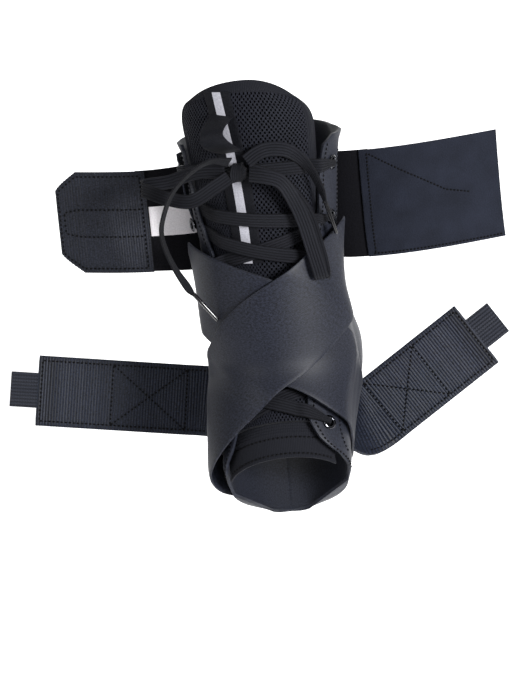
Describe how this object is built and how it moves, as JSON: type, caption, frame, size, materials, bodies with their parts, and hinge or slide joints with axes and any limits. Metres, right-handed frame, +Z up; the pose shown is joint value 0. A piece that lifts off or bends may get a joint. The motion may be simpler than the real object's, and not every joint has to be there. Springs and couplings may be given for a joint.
{
  "type": "ankle brace",
  "caption": "Lace-up ankle brace for a left foot: mesh tongue, eyelets, tied lace, straps crossed over the instep, cuff and hook straps unfastened and spread",
  "frame": {"origin": "the centre of the ankle that the brace is laced round, where the leg and the foot meet", "axes": "+Z is up with the sole level, the toes point along -Y, and +X is the outer side of the left foot; the leg leans back 30 degrees towards +Y"},
  "size_m": [0.3558, 0.2211, 0.2828],
  "materials": {
    "aglet": "gloss",
    "lace": "braided",
    "cross_strap": "smooth",
    "cuff_elastic": "matte",
    "label": "satin",
    "loop_cloth": "napped",
    "eyelet": "gloss black nickel",
    "hook_cloth": "ribbed",
    "webbing": "ribbed",
    "ribbon": "woven",
    "tab": "woven",
    "quarter": "smooth",
    "tongue": "air mesh",
    "toe_band": "matte"
  },
  "bodies": {
    "root": {"aglet_left": "aglet", "aglet_right": "aglet", "bow_loop_left": "lace", "bow_loop_right": "lace", "cross_strap_over": "cross_strap", "cross_strap_under": "cross_strap", "cuff_band": "cuff_elastic", "cuff_label": "label", "cuff_panel": "loop_cloth", "eyelet_left_1": "eyelet", "eyelet_left_2": "eyelet", "eyelet_left_3": "eyelet", "eyelet_left_4": "eyelet", "eyelet_left_5": "eyelet", "eyelet_left_6": "eyelet", "eyelet_left_7": "eyelet", "eyelet_right_1": "eyelet", "eyelet_right_2": "eyelet", "eyelet_right_3": "eyelet", "eyelet_right_4": "eyelet", "eyelet_right_5": "eyelet", "eyelet_right_6": "eyelet", "eyelet_right_7": "eyelet", "hook_patch": "hook_cloth", "hook_strap_left": "webbing", "hook_strap_right": "webbing", "lace_end_left": "lace", "lace_end_right": "lace", "lace_knot": "lace", "lace_pass_left_3": "lace", "lace_pass_left_4": "lace", "lace_pass_left_5": "lace", "lace_pass_left_6": "lace", "lace_pass_left_7": "lace", "lace_pass_right_2": "lace", "lace_pass_right_3": "lace", "lace_pass_right_4": "lace", "lace_pass_right_5": "lace", "lace_pass_right_6": "lace", "lace_pass_right_7": "lace", "lace_to_knot_left": "lace", "lace_to_knot_right": "lace", "pull_loop": "ribbon", "pull_tab_left": "tab", "pull_tab_right": "tab", "quarter_left": "quarter", "quarter_right": "quarter", "side_patch_left": "loop_cloth", "side_patch_right": "loop_cloth", "tongue": "tongue", "tongue_ribbon": "ribbon", "tongue_toe_band": "toe_band"}
  },
  "joints": []
}
